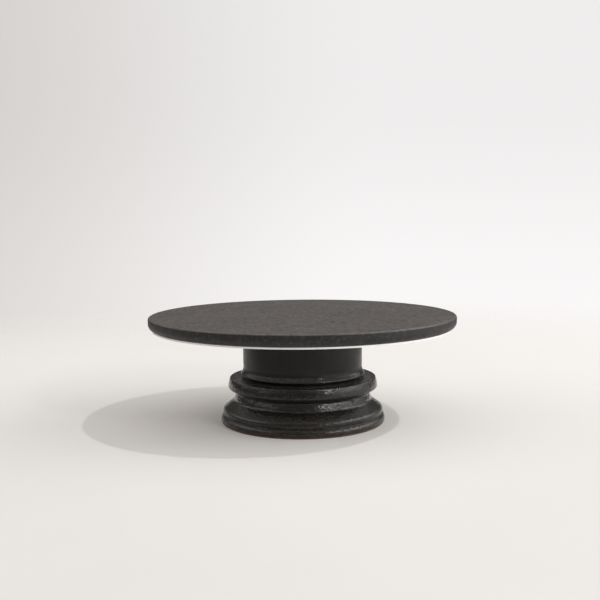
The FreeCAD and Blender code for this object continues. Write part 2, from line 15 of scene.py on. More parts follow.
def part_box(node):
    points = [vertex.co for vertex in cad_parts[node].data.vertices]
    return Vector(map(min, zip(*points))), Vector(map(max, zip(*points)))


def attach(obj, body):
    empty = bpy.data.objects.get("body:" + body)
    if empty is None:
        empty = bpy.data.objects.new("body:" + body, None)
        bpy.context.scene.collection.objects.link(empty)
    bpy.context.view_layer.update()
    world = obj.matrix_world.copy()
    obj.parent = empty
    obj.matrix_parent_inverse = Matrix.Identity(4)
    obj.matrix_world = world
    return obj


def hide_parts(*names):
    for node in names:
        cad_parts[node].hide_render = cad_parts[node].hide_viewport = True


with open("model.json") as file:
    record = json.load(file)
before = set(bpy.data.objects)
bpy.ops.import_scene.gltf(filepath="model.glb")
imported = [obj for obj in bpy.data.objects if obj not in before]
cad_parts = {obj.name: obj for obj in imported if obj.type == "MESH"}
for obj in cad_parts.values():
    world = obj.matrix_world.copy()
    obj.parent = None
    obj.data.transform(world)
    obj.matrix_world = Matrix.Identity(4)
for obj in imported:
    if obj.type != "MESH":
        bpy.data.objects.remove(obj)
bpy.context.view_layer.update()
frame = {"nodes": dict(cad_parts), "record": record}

MM = 0.001
SAMPLE = 0.2  # mm between samples of an outline, before it is softened and thinned
BEND = math.radians(7)  # an outline gets a ring at least this often in a bend
ROD_SIDES = 48


def box_mm(node):
    """A CAD node's box in millimetres."""
    low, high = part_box(node)
    return low / MM, high / MM


wheel_low, wheel_high = box_mm("wheel_head")
base_low, base_high = box_mm("base_casting")
foot_ring_high = box_mm("foot_ring")[1]
dust_ring_high = box_mm("felt_dust_ring")[1]
HEIGHT = wheel_high.z
WHEEL_R = min(wheel_high.x, wheel_high.y)
WHEEL_Z = wheel_low.z
PLATE_Z = box_mm("underside_plate")[0].z
SKIRT_RIM_Z = box_mm("hub_skirt")[0].z
DECK_Z = base_high.z
FOOT_Z = base_low.z
BASE_R = min(base_high.x, base_high.y)
FOOT_RING_R = min(foot_ring_high.x, foot_ring_high.y)
FOOT_RING_TOP = foot_ring_high.z
DUST_RING_R = min(dust_ring_high.x, dust_ring_high.y)
DUST_RING_TOP = dust_ring_high.z

# Sizes inside those boxes, in mm, as in part.py

# Wheel head
WHEEL_ARRIS = 1.5  # rounding of the working face's edge
WHEEL_FACE_DROP = 5.5  # the rim is upright this far down
WHEEL_FOOT_R = 146.0  # the rim tucks in to this at its lower edge
WHEEL_WEB = 6.0
WHEEL_RIM_IN_R = 136.0
WHEEL_HUB_R = 42.0
RIB_WIDE = 6.0
RIB_BOSS_R = 6.0
SPIGOT_R = 15.0
SPIGOT_POCKET = 4.0
SINK_R = 2.9  # mouth of a plate screw's countersink
SINK_HIGH = 2.2
PLATE_TAP_DEEP = 7.0

# Skirt
SKIRT_R = 58.6
SKIRT_WALL = 6.0
SKIRT_TOP_THICK = 6.0
SKIRT_CORNER = 4.0
SKIRT_RIM_LOW_R = 60.2
SKIRT_RIM_MID = (61.0, 0.9)  # the rim's side: radius, and height over its lower edge
SKIRT_RIM_TOP = (60.6, 2.4)
SKIRT_FLARE_Z = 57.0  # the flare starts here

# Base casting, outside: radius, and height over its lower edge
FOOT_R = 80.6
BEAD = (BASE_R, 1.9)  # the foot bead is widest here
CREASE = (78.1, 6.4)  # the sunk line over the bead
SIDE_LOW_MID = (78.9, 8.0)  # the short upright side over the crease
SIDE_TOP = (79.0, 10.0)
SHOULDER_MID = (78.45, 11.8)
SLOPE_LOW = (77.4, 13.1)  # the slope from the shoulder up to the groove
SLOPE_TOP = (69.2, 19.3)
COVE_MID = (68.05, 20.6)
GROOVE_WALL_LOW = (67.6, 22.2)  # the groove's upright wall
GROOVE_WALL_TOP = (66.4, 26.0)
GROOVE_MID = (66.1, 27.0)
GROOVE_TOP = (66.8, 27.9)
FLANGE_LOW = (72.8, 31.6)
FLANGE_LOW_MID = (73.6, 32.5)
FLANGE_SIDE_LOW = (73.8, 33.9)
FLANGE_SIDE_MID = (73.25, 37.6)
FLANGE_SIDE_TOP = (72.2, 41.2)
FLANGE_TOP_MID = (71.8, 41.9)
FLANGE_DECK_R = 70.9
DECK_CAST_R = 62.0  # machined from here inwards

# Base casting, inside
DECK_THICK = 9.0
FOOT_IN_R = 70.0
HOUSING_R = 28.0
BOSS_R = 35.0
BOSS_BOTTOM_Z = 26.0
WALL_IN_R = 60.5
WALL_IN_HIGH_Z = 28.0
WALL_IN_WAIST_Z = 23.0
WALL_IN_LOW_Z = 11.0
COVER_LUG_R = 6.0
COVER_LUG_Z = 5.0
COVER_TAP_Z = (3.0, 14.0)
DECK_TAP_Z = 36.2

# Felts, and the dust round the inner one, whose pale colour is also painted fill light
FOOT_RING_IN_R = 71.1
DUST_RING_IN_R = 46.0
DUST_AND_FILL_SPREAD = (65.5, 68.5)  # the dust and its painted fill light thin out between these radii

# Screw holes
BOLT_R = 3.0
SCREW_R = 2.0
HOLE_SPARE = 2.0  # how far a cutting rod runs past the face it opens
CLAMP_TOP_DROP = 4.5  # the clamp bolts' holes end this far under the working face


# Lathed meshes


def arc_points(start, middle, end):
    """Points along the circle through three points, without the first."""
    (ax, ay), (bx, by), (cx, cy) = start, middle, end
    d = 2 * (ax * (by - cy) + bx * (cy - ay) + cx * (ay - by))
    a2, b2, c2 = ax * ax + ay * ay, bx * bx + by * by, cx * cx + cy * cy
    ux = (a2 * (by - cy) + b2 * (cy - ay) + c2 * (ay - by)) / d
    uy = (a2 * (cx - bx) + b2 * (ax - cx) + c2 * (bx - ax)) / d
    radius = math.hypot(ax - ux, ay - uy)
    first = math.atan2(ay - uy, ax - ux)
    full = 2 * math.pi
    sweep = (math.atan2(cy - uy, cx - ux) - first) % full
    if (math.atan2(by - uy, bx - ux) - first) % full > sweep:
        sweep -= full
    count = max(2, math.ceil(abs(sweep) * radius / SAMPLE))
    for i in range(1, count + 1):
        angle = first + sweep * i / count
        yield ux + radius * math.cos(angle), uy + radius * math.sin(angle)


def line_points(start, end):
    """Points along a straight run, without the first."""
    count = max(1, math.ceil(math.dist(start, end) / SAMPLE))
    for i in range(1, count + 1):
        t = i / count
        yield start[0] + (end[0] - start[0]) * t, start[1] + (end[1] - start[1]) * t


def sample(start, runs):
    """Rows of (r, z, coat, step) along an outline. Each run is (coat, step, moves): coat is 1 where the
    surface has its cast and painted unevenness and 0 where it's machined, and step is the widest ring
    spacing in mm."""
    rows = []
    here = start
    for coat, step, moves in runs:
        for move in moves:
            if isinstance(move[0], tuple):
                points = arc_points(here, *move)
                end = move[1]
            else:
                points = line_points(here, move)
                end = move
            rows += [(r, z, coat, step) for r, z in points]
            here = end
    return np.array(rows)


def soften(rows, width, closed):
    """Rounds an outline's corners, as paint and handling do. Width is the rounding's size in mm."""
    reach = math.ceil(3 * width / SAMPLE)
    kernel = np.exp(-0.5 * (np.arange(-reach, reach + 1) * SAMPLE / width) ** 2)
    kernel /= kernel.sum()
    soft = rows.copy()
    for column in (0, 1, 2):
        values = rows[:, column]
        if closed:
            padded = np.concatenate((values[-reach:], values, values[:reach]))
        else:
            padded = np.concatenate(
                (2 * values[0] - values[reach:0:-1], values, 2 * values[-1] - values[-2 : -reach - 2 : -1])
            )
        soft[:, column] = np.convolve(padded, kernel, "valid")
    return soft


def thin(rows, closed):
    """Keeps only the rows that a smooth mesh needs: one every step, and more in bends."""
    kept = [0]
    turned = 0.0
    for i in range(1, len(rows) - 1):
        before = rows[i, :2] - rows[i - 1, :2]
        after = rows[i + 1, :2] - rows[i, :2]
        cross = before[0] * after[1] - before[1] * after[0]
        turned += abs(math.atan2(cross, float(before @ after)))
        gone = np.linalg.norm(rows[i, :2] - rows[kept[-1], :2])
        if gone >= rows[i, 3] or turned >= BEND:
            kept.append(i)
            turned = 0.0
    last = len(rows) - 1
    if not closed or np.linalg.norm(rows[last, :2] - rows[0, :2]) > 0.5 * SAMPLE:
        kept.append(last)
    return rows[kept]


def lathe(name, start, runs, segments, width):
    """A closed mesh turned about Z from an outline, with its corners softened by width. An outline that
    starts on the axis also ends there. Returns the object and each vertex's coat."""
    closed = start[0] > 0
    rows = thin(soften(sample(start, runs), width, closed), closed)
    angles = np.arange(segments) * 2 * math.pi / segments
    if not closed:
        first_z, last_z = rows[0, 1], rows[-1, 1]
        rows = rows[1:-1]
    x = rows[:, :1] * np.cos(angles)
    y = rows[:, :1] * np.sin(angles)
    z = np.repeat(rows[:, 1:2], segments, axis=1)
    co = np.stack((x, y, z), axis=-1).reshape(-1, 3)
    coat = np.repeat(rows[:, 2], segments)
    count = len(rows)
    bands = count if closed else count - 1
    ring = np.arange(segments)
    nxt = (ring + 1) % segments
    faces = []
    for i in range(bands):
        a, b = i * segments, (i + 1) % count * segments
        faces += np.stack((a + ring, b + ring, b + nxt, a + nxt), axis=1).tolist()
    if not closed:
        top, bottom = len(co), len(co) + 1
        co = np.concatenate((co, [[0, 0, first_z], [0, 0, last_z]]))
        coat = np.concatenate((coat, [rows[0, 2], rows[-1, 2]]))
        end = (count - 1) * segments
        faces += [(top, i, (i + 1) % segments) for i in range(segments)]
        faces += [(bottom, end + (i + 1) % segments, end + i) for i in range(segments)]
    mesh = bpy.data.meshes.new(name)
    mesh.from_pydata((co * MM).tolist(), [], faces)
    mesh.validate()
    piece = bpy.data.objects.new(name, mesh)
    bpy.context.scene.collection.objects.link(piece)
    recalculate(piece)
    return piece, coat


def recalculate(piece):
    """Turns every face of a closed mesh outwards."""
    bm = bmesh.new()
    bm.from_mesh(piece.data)
    bmesh.ops.recalc_face_normals(bm, faces=bm.faces)
    bm.to_mesh(piece.data)
    bm.free()


def roughen(piece, coat, layers):
    """Moves the coated vertices inwards by seeded noise. Layers are (size in mm, depth in mm, offset)."""
    mesh = piece.data
    normals = np.zeros(len(mesh.vertices) * 3, np.float32)
    mesh.vertex_normals.foreach_get("vector", normals)
    co = np.zeros(len(mesh.vertices) * 3, np.float32)
    mesh.vertices.foreach_get("co", co)
    co, normals = co.reshape(-1, 3), normals.reshape(-1, 3)
    depth = np.zeros(len(co))
    for size, deep, offset in layers:
        scaled = co / (size * MM) + offset
        values = np.array([noise.noise(Vector(p)) for p in scaled])
        depth += deep * np.clip(0.5 + 0.5 * values, 0, 1)
    co = co - normals * (depth * coat * MM)[:, None]
    mesh.vertices.foreach_set("co", co.astype(np.float32).ravel())
    mesh.update()


# Solid tools for the hidden features of the castings


def prism(corners, low, high):
    """A closed prism over a list of (x, y) corners, in mm."""
    count = len(corners)
    verts = [(x * MM, y * MM, z * MM) for z in (low, high) for x, y in corners]
    faces = [tuple(range(count))[::-1], tuple(range(count, 2 * count))]
    faces += [(i, (i + 1) % count, count + (i + 1) % count, count + i) for i in range(count)]
    return verts, faces


def round_corners(r, at):
    """Corners of a circle, as (x, y) in mm."""
    angles = [2 * math.pi * i / ROD_SIDES for i in range(ROD_SIDES)]
    return [(at[0] + r * math.cos(a), at[1] + r * math.sin(a)) for a in angles]


def rod(r, low, high, at):
    """An upright cylinder, in mm."""
    return prism(round_corners(r, at), low, high)


def cone(r_low, r_high, low, high, at):
    """A closed frustum, in mm."""
    lower = [(x * MM, y * MM, low * MM) for x, y in round_corners(r_low, at)]
    upper = [(x * MM, y * MM, high * MM) for x, y in round_corners(r_high, at)]
    _, faces = rod(r_low, low, high, at)
    return lower + upper, faces


def bar(start, end, wide, low, high, angle):
    """A radial box, in mm, with its angle in radians."""
    c, s = math.cos(angle), math.sin(angle)
    flat = [(start, -wide / 2), (end, -wide / 2), (end, wide / 2), (start, wide / 2)]
    return prism([(x * c - y * s, x * s + y * c) for x, y in flat], low, high)


def around(count, radius, first=0.0):
    """Evenly spaced (angle, (x, y))."""
    for i in range(count):
        a = math.radians(first) + 2 * math.pi * i / count
        yield a, (radius * math.cos(a), radius * math.sin(a))


def combine(piece, operation, solids):
    """Joins solids to a piece, or cuts them from it, one after another."""
    for verts, faces in solids:
        mesh = bpy.data.meshes.new("tool")
        mesh.from_pydata(verts, [], faces)
        tool = bpy.data.objects.new("tool", mesh)
        bpy.context.scene.collection.objects.link(tool)
        recalculate(tool)
        step = piece.modifiers.new("step", "BOOLEAN")
        step.operation = operation
        step.solver = "MANIFOLD"
        step.object = tool
        dg = bpy.context.evaluated_depsgraph_get()
        result = bpy.data.meshes.new_from_object(piece.evaluated_get(dg))
        piece.modifiers.clear()
        old = piece.data
        piece.data = result
        bpy.data.meshes.remove(old)
        bpy.data.objects.remove(tool)
        bpy.data.meshes.remove(mesh)


def finish_piece(piece, material, slot, body, *nodes, sharp=40):
    """Smooth shading with crisp machined corners, then the material and the frame's calls."""
    mesh = piece.data
    mesh.name = piece.name
    mesh.materials.clear()
    mesh.materials.append(material)
    mesh.shade_smooth()
    mesh.set_sharp_from_angle(angle=math.radians(sharp))
    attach(piece, body)
    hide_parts(*nodes)
    return piece


# Materials

RING_WANDER = 0.00004  # metres that a turned ring strays from a true circle


class Tree:
    """A node tree, built from short calls."""

    def __init__(self, tree):
        self.tree = tree
        self.tree.nodes.clear()

    def add(self, kind, **settings):
        node = self.tree.nodes.new(kind)
        for key, value in settings.items():
            setattr(node, key, value)
        return node

    def link(self, source, target):
        self.tree.links.new(source, target)

    def put(self, target, value):
        """Links an output to an input, or sets the input's own value."""
        if isinstance(value, bpy.types.NodeSocket):
            self.link(value, target)
        else:
            target.default_value = value

    def axes(self, place):
        """A place's X, Y and Z."""
        split = self.add("ShaderNodeSeparateXYZ")
        self.link(place, split.inputs[0])
        return tuple(split.outputs)

    def math(self, operation, *values):
        node = self.add("ShaderNodeMath", operation=operation)
        for socket, value in zip(node.inputs, values):
            self.put(socket, value)
        return node.outputs[0]

    def plus(self, a, b):
        return self.math("ADD", a, b)

    def minus(self, a, b):
        return self.math("SUBTRACT", a, b)

    def times(self, a, b):
        return self.math("MULTIPLY", a, b)

    def most(self, a, b):
        return self.math("MAXIMUM", a, b)

    def between(self, value, low, high, out_low=0.0, out_high=1.0):
        """Maps a range smoothly to another and holds it there."""
        node = self.add("ShaderNodeMapRange", interpolation_type="SMOOTHSTEP")
        self.put(node.inputs["Value"], value)
        node.inputs["From Min"].default_value = low
        node.inputs["From Max"].default_value = high
        node.inputs["To Min"].default_value = out_low
        node.inputs["To Max"].default_value = out_high
        return node.outputs["Result"]

    def blend(self, factor, a, b):
        """Mixes two values."""
        node = self.add("ShaderNodeMix", data_type="FLOAT")
        self.put(node.inputs["Factor"], factor)
        self.put(node.inputs["A"], a)
        self.put(node.inputs["B"], b)
        return node.outputs["Result"]

    def mix(self, factor, a, b):
        """Mixes two colours."""
        node = self.add("ShaderNodeMix", data_type="RGBA")
        self.put(node.inputs["Factor"], factor)
        sockets = [s for s in node.inputs if s.type == "RGBA"]
        for socket, value in zip(sockets, (a, b)):
            self.put(socket, (*value, 1.0) if isinstance(value, tuple) else value)
        return [s for s in node.outputs if s.type == "RGBA"][0]


class Nodes(Tree):
    """A material's node tree round one shader, in object coordinates."""

    def __init__(self, name):
        self.material = bpy.data.materials.new(name)
        self.material.use_nodes = True
        super().__init__(self.material.node_tree)
        self.shader = self.add("ShaderNodeBsdfPrincipled")
        self.surface = self.add("ShaderNodeOutputMaterial").inputs["Surface"]
        self.link(self.shader.outputs["BSDF"], self.surface)
        self.place = self.add("ShaderNodeTexCoord").outputs["Object"]

    def noise(self, scale, detail=3.0, rough=0.55, place=None, warp=0.0):
        """Fractal noise. Scale is in features per metre."""
        node = self.add("ShaderNodeTexNoise")
        self.link(place or self.place, node.inputs["Vector"])
        node.inputs["Scale"].default_value = scale
        node.inputs["Detail"].default_value = detail
        node.inputs["Roughness"].default_value = rough
        node.inputs["Distortion"].default_value = warp
        return node.outputs[0]

    def cells(self, scale):
        """Distance from the nearest of many scattered points. Scale is in points per metre."""
        node = self.add("ShaderNodeTexVoronoi", feature="F1")
        self.link(self.place, node.inputs["Vector"])
        node.inputs["Scale"].default_value = scale
        return node.outputs["Distance"]

    def moved(self, scale=(1, 1, 1), turn=(0, 0, 0), shift=(0, 0, 0), place=None):
        """The place scaled, then turned, then shifted."""
        node = self.add("ShaderNodeMapping")
        self.link(place or self.place, node.inputs["Vector"])
        node.inputs["Location"].default_value = shift
        node.inputs["Rotation"].default_value = turn
        node.inputs["Scale"].default_value = scale
        return node.outputs["Vector"]

    def radius(self):
        """Distance from the spindle's axis and height, in metres."""
        x, y, z = self.axes(self.place)
        flat = self.add("ShaderNodeCombineXYZ")
        self.link(x, flat.inputs["X"])
        self.link(y, flat.inputs["Y"])
        length = self.add("ShaderNodeVectorMath", operation="LENGTH")
        self.link(flat.outputs[0], length.inputs[0])
        return length.outputs["Value"], z

    def past(self, measure, low, high, out_low=0.0, out_high=1.0):
        """Like between, for a radius or height and limits in mm."""
        return self.between(measure, low * MM, high * MM, out_low, out_high)

    def turned_place(self):
        """A place that depends only on radius and height, so that noise read there runs in rings."""
        r, z = self.radius()
        ring = self.add("ShaderNodeCombineXYZ")
        self.link(self.plus(r, self.times(self.noise(60), RING_WANDER)), ring.inputs["X"])
        self.link(z, ring.inputs["Y"])
        return ring.outputs[0]

    def bump(self, height, distance, under=None, strength=1.0):
        """Adds relief. Distance is the height's size in metres."""
        node = self.add("ShaderNodeBump")
        node.inputs["Strength"].default_value = strength
        node.inputs["Distance"].default_value = distance
        self.link(height, node.inputs["Height"])
        if under:
            self.link(under, node.inputs["Normal"])
        return node.outputs["Normal"]

    def set(self, **values):
        """Sets or links the shader's sockets, with _ for a space."""
        for key, value in values.items():
            socket = self.shader.inputs[key.replace("_", " ")]
            if isinstance(value, tuple) and len(value) == 3:
                value = (*value, 1.0)
            self.put(socket, value)
        return self.material


# Scratches on the working face: direction in radians, features per metre along and across, rarity
SCRATCHES = (
    (0.35, 16, 1500, 0.745),
    (-0.62, 22, 1900, 0.75),
    (1.37, 18, 1700, 0.752),
    (2.2, 30, 1400, 0.75),
)


def scratch_marks(n):
    """Fine straight scratches in a few directions, in patches."""
    marks = None
    for i, (angle, along, across, rare) in enumerate(SCRATCHES):
        turned = n.moved(turn=(0, 0, angle))
        stretched = n.moved((along, across, 1), shift=(7.3 * i, 2.9 * i, 0), place=turned)
        streak = n.noise(1.0, 1.0, 0.5, stretched)
        line = n.between(streak, rare - 0.035, rare)
        marks = line if marks is None else n.most(marks, line)
    return n.times(marks, n.between(n.noise(14, 3), 0.42, 0.58, 0.25, 1.0))


def wheel_face_colour(n, tone):
    """Enamel rubbed to a warm grey: broad warm patches, a dark and light mottle, fine pale grit."""
    warm = n.between(n.noise(24, 4, 0.6, n.moved(shift=(3.1, 1.7, 0.4)), warp=0.4), 0.42, 0.66)
    mottle = n.noise(200, 4, 0.7, warp=0.4)
    grit = n.between(n.noise(620, 3, 0.65), 0.38, 0.68)
    colour = n.mix(tone, (0.058, 0.0541, 0.0527), (0.076, 0.0707, 0.0688))
    colour = n.mix(n.times(warm, 0.5), colour, (0.092, 0.0710, 0.0660))
    colour = n.mix(n.between(mottle, 0.52, 0.62, 0.0, 0.55), colour, (0.140, 0.127, 0.119))
    colour = n.mix(n.between(mottle, 0.38, 0.48, 0.75, 0.0), colour, (0.030, 0.027, 0.026))
    return n.mix(n.times(grit, 0.6), colour, (0.122, 0.116, 0.113))


def wheel_enamel():
    """Dark satin enamel, flecked on the side, rubbed and finely scratched on the face, worn on the arris,
    where the pale worn colour is also a painted highlight.
    """
    n = Nodes("wheel_enamel")
    r, z = n.radius()
    face = n.past(z, HEIGHT - 0.9, HEIGHT - 0.15)
    tone = n.between(n.noise(42, 5, 0.62, warp=0.5), 0.34, 0.66)
    side = n.mix(tone, (0.012, 0.0119, 0.012), (0.017, 0.0167, 0.0165))
    flecks = n.noise(330, 3, 0.7, n.moved(shift=(1.3, 4.1, 2.2)))
    side = n.mix(n.between(flecks, 0.5, 0.68), side, (0.038, 0.0366, 0.0359))
    colour = n.mix(face, side, wheel_face_colour(n, tone))

    scratches = n.times(scratch_marks(n), face)
    colour = n.mix(n.times(scratches, 0.85), colour, (0.27, 0.256, 0.247))
    specks = n.times(n.between(n.cells(330), 0.05, 0.27, 1.0, 0.0), n.between(n.noise(75), 0.44, 0.6))
    colour = n.mix(n.times(n.times(specks, face), 0.6), colour, (0.36, 0.34, 0.32))
    # The arris is lightened partly as worn paint and partly as a painted highlight along the edge.
    arris = n.times(n.past(r, WHEEL_R - 2.2, WHEEL_R - 1.2), n.past(z, HEIGHT - 1.7, HEIGHT - 0.7))
    worn = n.times(arris, n.between(n.noise(95, 5, 0.65), 0.3, 0.72, 0.25, 1.0))
    colour = n.mix(n.times(worn, 0.5), colour, (0.15, 0.142, 0.137))

    rough = n.between(n.noise(60, 4, 0.6), 0.3, 0.7, 0.44, 0.54)
    rough = n.plus(rough, n.times(face, 0.22))
    rough = n.minus(rough, n.times(worn, 0.3))
    shine = n.between(face, 0, 1, 0.34, 0.19)
    normal = n.bump(n.noise(700, 4, 0.6), 0.00007)
    normal = n.bump(n.times(n.noise(420, 2, 0.5, n.turned_place()), face), 0.00003, normal)
    normal = n.bump(n.noise(38, 3), 0.0003, normal, 0.6)
    normal = n.bump(scratches, -0.00004, normal)
    return n.set(Base_Color=colour, Roughness=rough, Normal=normal, Specular_IOR_Level=shine)


def skirt_enamel():
    """Smooth black semi-gloss enamel over faint turning marks, textured like the base on the flared rim."""
    n = Nodes("skirt_enamel")
    r, z = n.radius()
    tone = n.between(n.noise(30, 4, 0.6), 0.35, 0.65)
    colour = n.mix(tone, (0.0095, 0.0086, 0.0074), (0.0132, 0.0121, 0.0106))
    dust = n.times(n.between(n.cells(330), 0.0, 0.09, 1.0, 0.0), n.between(n.noise(40), 0.52, 0.7))
    colour = n.mix(n.times(dust, 0.8), colour, (0.09, 0.086, 0.080))
    rim = n.past(r, SKIRT_R + 0.1, SKIRT_R + 0.5)
    worn = n.times(rim, n.between(n.noise(560, 3, 0.6, warp=0.3), 0.5, 0.68))
    colour = n.mix(n.times(worn, 0.2), colour, (0.04, 0.038, 0.036))

    rough = n.between(n.noise(70, 4, 0.6), 0.3, 0.7, 0.32, 0.42)
    rough = n.minus(rough, n.times(rim, 0.26))
    shine = n.between(rim, 0, 1, 0.24, 0.5)
    normal = n.bump(n.noise(480, 3, 0.6), 0.00003)
    normal = n.bump(n.noise(300, 2, 0.5, n.turned_place()), 0.000025, normal)
    normal = n.bump(n.noise(50, 2), 0.0003, normal, 0.5)
    normal = n.bump(n.times(n.noise(400, 1, 0.5), rim), 0.0005, normal)
    return n.set(Base_Color=colour, Roughness=rough, Normal=normal, Specular_IOR_Level=shine)


def base_enamel():
    """Glossy black enamel over a sand casting: orange peel with peaks lightened partly as worn paint and
    partly as painted glints, small pits, rubbed arrises, dust on the deck round the felt ring that is also
    painted fill light in the shaded gap under the rim, and rust low on the foot."""
    n = Nodes("base_enamel")
    r, z = n.radius()
    tone = n.between(n.noise(36, 5, 0.6), 0.35, 0.65)
    colour = n.mix(tone, (0.0080, 0.0066, 0.0052), (0.0120, 0.0100, 0.0082))
    peel = n.noise(520, 3, 0.6, warp=0.3)
    # Peaks of the orange peel are lighter: partly worn paint, partly painted glints.
    colour = n.mix(n.times(n.between(peel, 0.5, 0.7), 0.4), colour, (0.030, 0.027, 0.0245))

    outside_deck = n.past(r, FLANGE_DECK_R, FLANGE_DECK_R + 0.7)
    flange_arris = n.times(outside_deck, n.past(z, DECK_Z - 1.4, DECK_Z - 0.5))
    bead_arris = n.times(n.past(r, FOOT_R - 0.6, FOOT_R + 0.1), 0.6)
    worn = n.times(n.most(flange_arris, bead_arris), n.between(n.noise(150, 5, 0.68), 0.44, 0.64))
    colour = n.mix(n.times(worn, 0.4), colour, (0.06, 0.057, 0.055))
    # Dust on the deck round the felt ring. Its pale colour is also painted fill light, which lightens the
    # shade in the gap under the skirt's rim.
    deck = n.past(z, DECK_Z - 0.5, DECK_Z - 0.2)
    dust = n.times(deck, n.past(r, *DUST_AND_FILL_SPREAD, 0.7, 0.0))
    colour = n.mix(dust, colour, (0.075, 0.069, 0.06))

    foot = n.past(z, FOOT_Z + 0.2, FOOT_Z + 4.2, 1.0, 0.0)
    rust = n.times(foot, n.between(n.noise(60, 5, 0.62), 0.32, 0.68, 0.35, 1.0))
    rust_colour = n.mix(n.noise(380, 4, 0.7), (0.022, 0.0105, 0.0065), (0.052, 0.024, 0.0125))
    colour = n.mix(n.times(rust, 0.75), colour, rust_colour)
    specks = n.times(n.between(n.cells(300), 0.0, 0.1, 1.0, 0.0), n.between(n.noise(60), 0.55, 0.68))
    colour = n.mix(n.times(specks, 0.4), colour, (0.13, 0.126, 0.12))

    rough = n.between(n.noise(110, 3, 0.6), 0.3, 0.7, 0.1, 0.16)
    rough = n.plus(rough, n.times(rust, 0.3))
    normal = n.bump(peel, 0.0002)
    normal = n.bump(n.noise(400, 1, 0.5), 0.00045, normal)
    pits = n.between(n.cells(260), 0.0, 0.16)
    normal = n.bump(pits, 0.00015, normal, 0.6)
    return n.set(Base_Color=colour, Roughness=rough, Normal=normal, Specular_IOR_Level=0.45)


def rolled_sheet(name, light, dark, rough_low, rough_high):
    """Satin anodised sheet with a rolled grain along one axis and handling marks."""
    n = Nodes(name)
    grain = n.noise(1.0, 3, 0.6, n.moved((30, 1800, 400)))
    marks = n.between(n.noise(24, 5, 0.65, warp=0.7), 0.4, 0.64)
    colour = n.mix(n.times(marks, 0.5), light, dark)
    colour = n.mix(n.between(grain, 0.4, 0.75, 0.0, 0.25), colour, dark)
    rough = n.between(n.noise(34, 5, 0.6, warp=0.4), 0.3, 0.7, rough_low, rough_high)
    normal = n.bump(grain, 0.00002)
    normal = n.bump(n.noise(28, 2), 0.0004, normal, 0.4)
    return n.set(Base_Color=colour, Metallic=0.3, Roughness=rough, Normal=normal)


def turned_steel(name, light, dark, rough_low, rough_high, pitch=1600, depth=0.00002):
    """Metal turned in a lathe: fine rings, an oily film that varies, a few pores."""
    n = Nodes(name)
    rings = n.noise(pitch, 2, 0.6, n.turned_place())
    film = n.between(n.noise(85, 5, 0.62, warp=0.5), 0.34, 0.68)
    colour = n.mix(film, light, dark)
    smears = n.plus(n.noise(140, 4, 0.6), n.times(rings, 0.25))
    rough = n.between(smears, 0.4, 0.85, rough_low, rough_high)
    normal = n.bump(rings, depth)
    normal = n.bump(n.between(n.cells(900), 0.0, 0.08), 0.00001, normal, 0.5)
    return n.set(Base_Color=colour, Metallic=1.0, Roughness=rough, Normal=normal)


def plated_steel(name, light, dark, rough_low, rough_high):
    """Small hardware with a plated or blackened skin, mottled, with a fine grain."""
    n = Nodes(name)
    mottle = n.between(n.noise(420, 5, 0.65, warp=0.8), 0.35, 0.65)
    colour = n.mix(mottle, light, dark)
    rough = n.between(n.noise(700, 4, 0.6), 0.3, 0.7, rough_low, rough_high)
    normal = n.bump(n.noise(2600, 3, 0.6), 0.00001)
    return n.set(Base_Color=colour, Metallic=1.0, Roughness=rough, Normal=normal)


def moulded_nylon():
    """Dark moulded nylon with a fine eroded grain."""
    n = Nodes("cage_nylon")
    tone = n.between(n.noise(300, 4, 0.6), 0.3, 0.7)
    colour = n.mix(tone, (0.042, 0.05, 0.034), (0.06, 0.068, 0.048))
    rough = n.between(n.noise(800, 3, 0.6), 0.3, 0.7, 0.5, 0.66)
    normal = n.bump(n.noise(3200, 2, 0.6), 0.000015)
    return n.set(Base_Color=colour, Roughness=rough, Normal=normal)


def cover_paint():
    """Matte black paint on sheet, with a light orange peel and dust."""
    n = Nodes("cover_paint")
    tone = n.between(n.noise(40, 4, 0.6), 0.35, 0.65)
    colour = n.mix(tone, (0.016, 0.016, 0.016), (0.026, 0.0255, 0.025))
    dust = n.between(n.noise(900, 4, 0.7), 0.62, 0.75)
    colour = n.mix(n.times(dust, 0.3), colour, (0.1, 0.096, 0.09))
    rough = n.between(n.noise(100, 4, 0.6), 0.3, 0.7, 0.55, 0.7)
    normal = n.bump(n.noise(520, 3, 0.6), 0.00008)
    return n.set(Base_Color=colour, Roughness=rough, Normal=normal, Specular_IOR_Level=0.4)


def felt(name, light, dark, fleck):
    """Pressed wool felt: matted fibres, pilling and a soft sheen."""
    n = Nodes(name)
    matted = n.noise(900, 6, 0.75, warp=1.6)
    fibre = n.between(n.noise(1.0, 3, 0.6, n.moved((1900, 260, 1900), (0.4, 0.9, 0.3)), warp=2.0), 0.52, 0.64)
    cross = n.between(n.noise(1.0, 3, 0.6, n.moved((260, 2100, 1500), (0.9, 0.2, 1.1)), warp=2.0), 0.54, 0.66)
    colour = n.mix(n.between(matted, 0.32, 0.68), dark, light)
    colour = n.mix(n.times(n.most(fibre, cross), 0.35), colour, fleck)
    grime = n.between(n.noise(42, 4, 0.6), 0.45, 0.7)
    colour = n.mix(n.times(grime, 0.35), colour, dark)
    rough = n.between(matted, 0.3, 0.7, 0.86, 0.98)
    relief = n.plus(matted, n.times(n.plus(fibre, cross), 0.4))
    normal = n.bump(relief, 0.00025)
    return n.set(
        Base_Color=colour,
        Roughness=rough,
        Normal=normal,
        Specular_IOR_Level=0.2,
        Sheen_Weight=0.3,
        Sheen_Roughness=0.5,
    )


